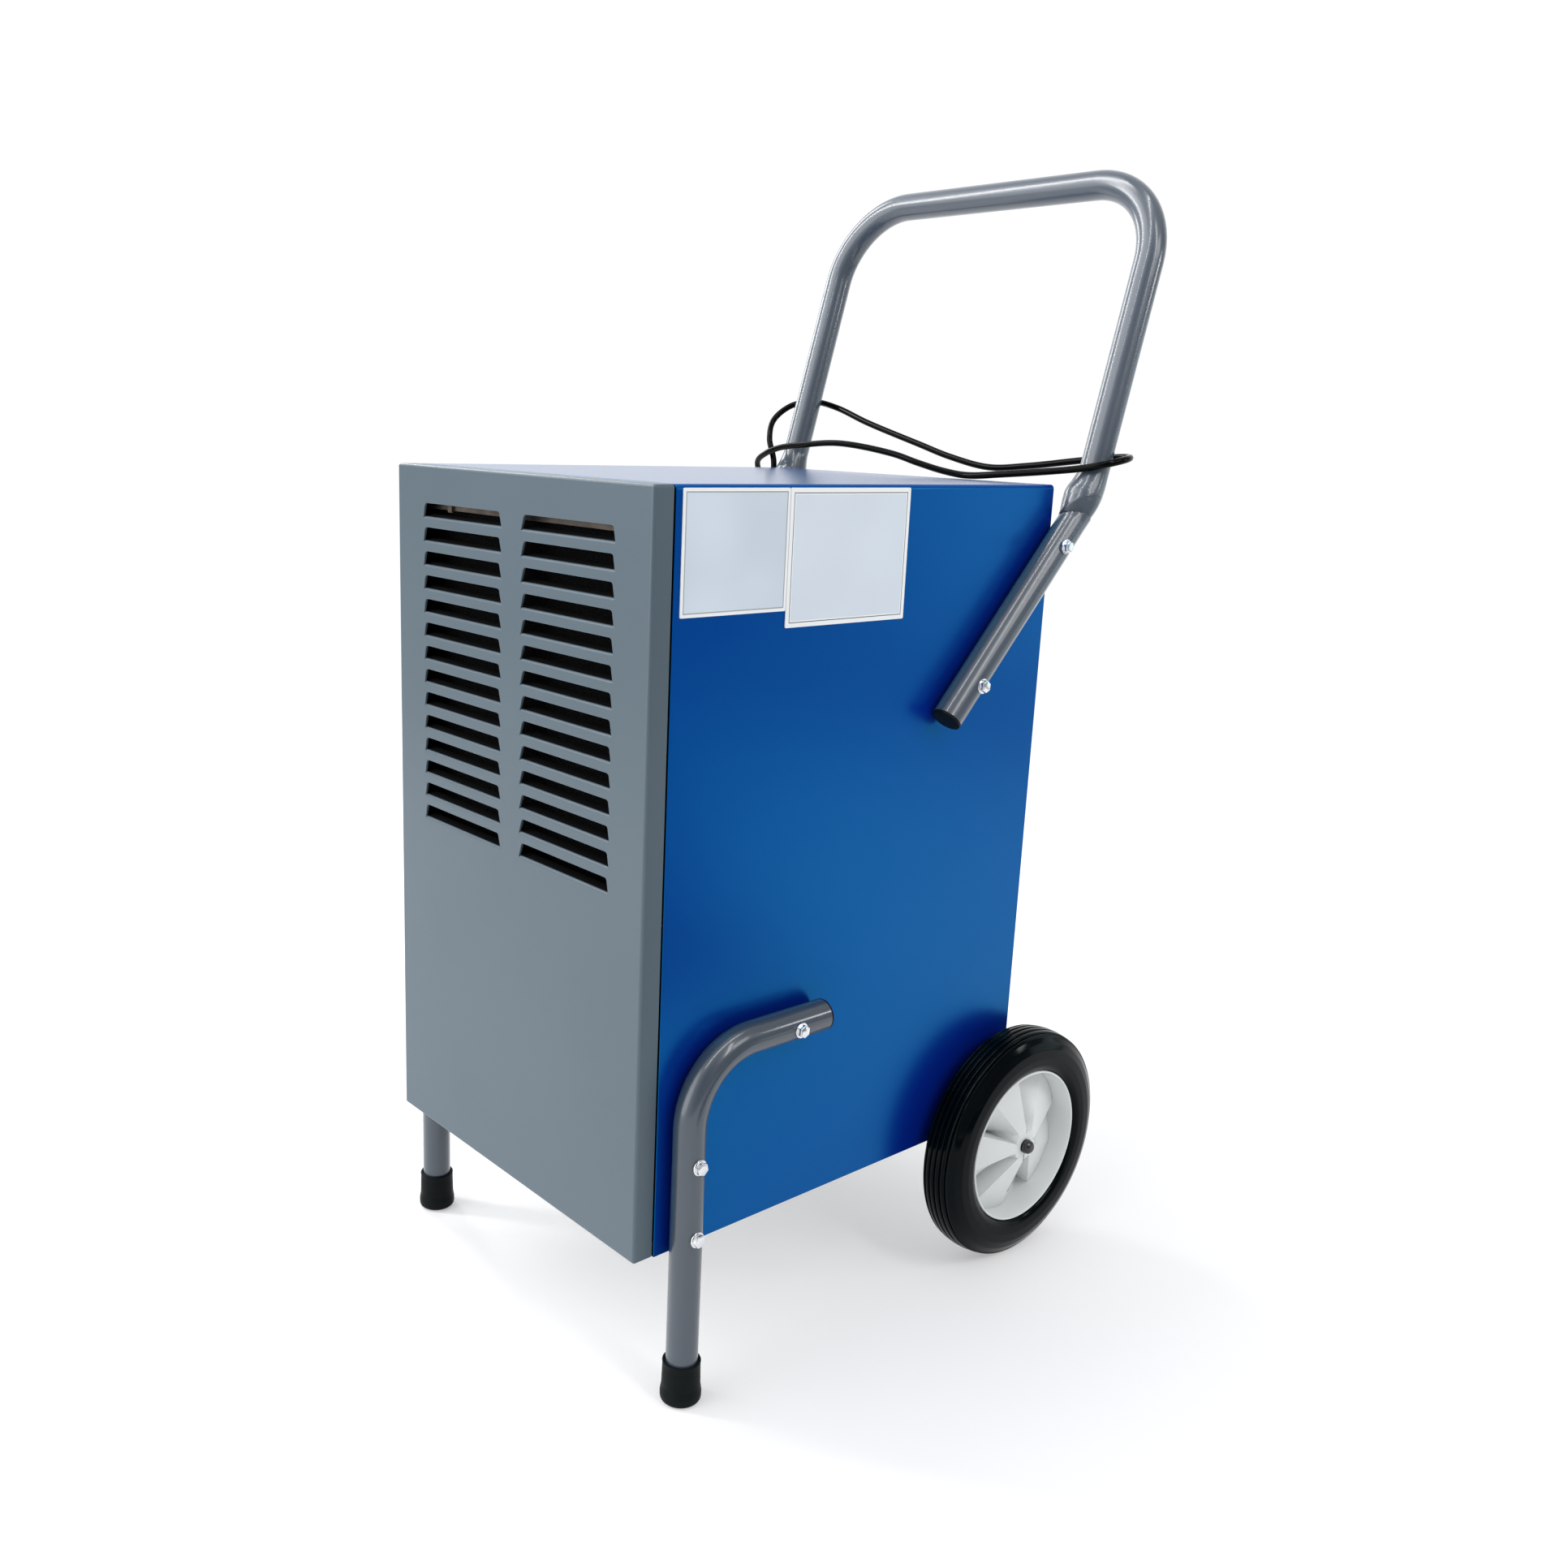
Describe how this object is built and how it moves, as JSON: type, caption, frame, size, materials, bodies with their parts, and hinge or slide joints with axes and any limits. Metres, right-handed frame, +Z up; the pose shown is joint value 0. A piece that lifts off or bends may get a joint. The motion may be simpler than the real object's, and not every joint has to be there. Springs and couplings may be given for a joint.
{
  "type": "dehumidifier",
  "caption": "Portable commercial dehumidifier: louvred grey front, blue steel cabinet, bent tube handle, two spoked wheels, two tube legs, rear tank, fan and wrapped mains lead.",
  "frame": {"origin": "on the floor, at the middle of the machine in plan, its mains lead left out", "axes": "+Z up, -Y the louvred front, +X the side that carries the two labels"},
  "size_m": [0.4681, 0.568, 0.9931],
  "materials": {
    "blue_paint": "gloss powder coat",
    "grey_paint": "satin powder coat",
    "tube_paint": "glossy grey enamel",
    "rubber": "matt black",
    "tyre": "matt black",
    "black_plastic": "fine grained",
    "white_plastic": "moulded, satin",
    "label_film": "blank self-adhesive film",
    "zinc": "bright zinc plate",
    "steel": "galvanised sheet",
    "copper": "drawn copper tube",
    "aluminium": "finned",
    "foam": "open-cell filter foam",
    "compressor_paint": "semi-gloss black",
    "tank_plastic": "moulded grey",
    "red_plastic": "moulded red"
  },
  "bodies": {
    "cabinet": {"front_panel": "grey_paint", "cabinet_casing": "blue_paint", "base_pan": "steel", "rear_panel": "grey_paint", "fan_guard": "zinc", "side_label_forward": "label_film", "side_label_rearward": "label_film", "handle_tube": "tube_paint", "axle": "steel", "air_filter": "foam", "evaporator_coil": "aluminium", "condenser_coil": "aluminium", "drip_tray": "black_plastic", "deck": "steel", "fan_shroud": "steel", "fan_motor": "compressor_paint", "fan_bracket": "steel", "compressor": "compressor_paint", "discharge_line": "copper", "suction_line": "copper", "liquid_line": "copper", "tank_cradle": "steel", "control_bezel": "black_plastic", "control_box": "steel", "cord_gland": "black_plastic", "power_lead": "rubber", "plug": "rubber", "handle_plug_right": "black_plastic", "leg_tube_right": "tube_paint", "leg_plug_right": "black_plastic", "foot_right": "rubber", "axle_cap_right": "black_plastic", "handle_bolt_right_1": "zinc", "handle_bolt_right_2": "zinc", "leg_bolt_right_1": "zinc", "leg_bolt_right_2": "zinc", "leg_bolt_right_3": "zinc", "handle_plug_left": "black_plastic", "leg_tube_left": "tube_paint", "leg_plug_left": "black_plastic", "foot_left": "rubber", "axle_cap_left": "black_plastic", "handle_bolt_left_1": "zinc", "handle_bolt_left_2": "zinc", "leg_bolt_left_1": "zinc", "leg_bolt_left_2": "zinc", "leg_bolt_left_3": "zinc"},
    "wheel_right": {"tyre_right": "tyre", "wheel_hub_right": "white_plastic"},
    "wheel_left": {"tyre_left": "tyre", "wheel_hub_left": "white_plastic"},
    "fan": {"fan_shaft": "steel", "fan_impeller": "aluminium"},
    "tank": {"water_tank": "tank_plastic"},
    "tank_handle": {"tank_handle": "steel"},
    "float": {"float_arm": "white_plastic"},
    "power_switch": {"power_switch": "red_plastic"},
    "reset_button": {"reset_button": "white_plastic"},
    "humidity_knob": {"humidity_knob": "black_plastic"}
  },
  "joints": [
    {"name": "wheel_right_spin", "type": "hinge", "parent": "cabinet", "child": "wheel_right", "pos_m": [0.199, 0.149, 0.11], "axis": [1, 0, 0], "continuous": true},
    {"name": "wheel_left_spin", "type": "hinge", "parent": "cabinet", "child": "wheel_left", "pos_m": [-0.199, 0.149, 0.11], "axis": [1, 0, 0], "continuous": true},
    {"name": "fan_spin", "type": "hinge", "parent": "cabinet", "child": "fan", "pos_m": [0, 0.13, 0.59], "axis": [0, 1, 0], "continuous": true},
    {"name": "tank_slide", "type": "slide", "parent": "cabinet", "child": "tank", "axis": [0, 1, 0], "range_m": [0, 0.19]},
    {"name": "tank_handle_hinge", "type": "hinge", "parent": "tank", "child": "tank_handle", "pos_m": [0, 0.171, 0.3], "axis": [1, 0, 0], "range_deg": [0, 90]},
    {"name": "float_hinge", "type": "hinge", "parent": "tank", "child": "float", "pos_m": [-0.1, 0.15, 0.338], "axis": [-1, 0, 0], "range_deg": [0, 20]},
    {"name": "power_rocker", "type": "hinge", "parent": "cabinet", "child": "power_switch", "pos_m": [0.096, 0.1623, 0.436], "axis": [1, 0, 0], "range_deg": [-9, 9]},
    {"name": "reset_push", "type": "slide", "parent": "cabinet", "child": "reset_button", "axis": [0, -1, 0], "range_m": [0, 0.003], "stiffness_N_per_m": 400},
    {"name": "humidity_turn", "type": "hinge", "parent": "cabinet", "child": "humidity_knob", "pos_m": [0.004, 0.17, 0.436], "axis": [0, 1, 0], "range_deg": [-140, 140]}
  ]
}
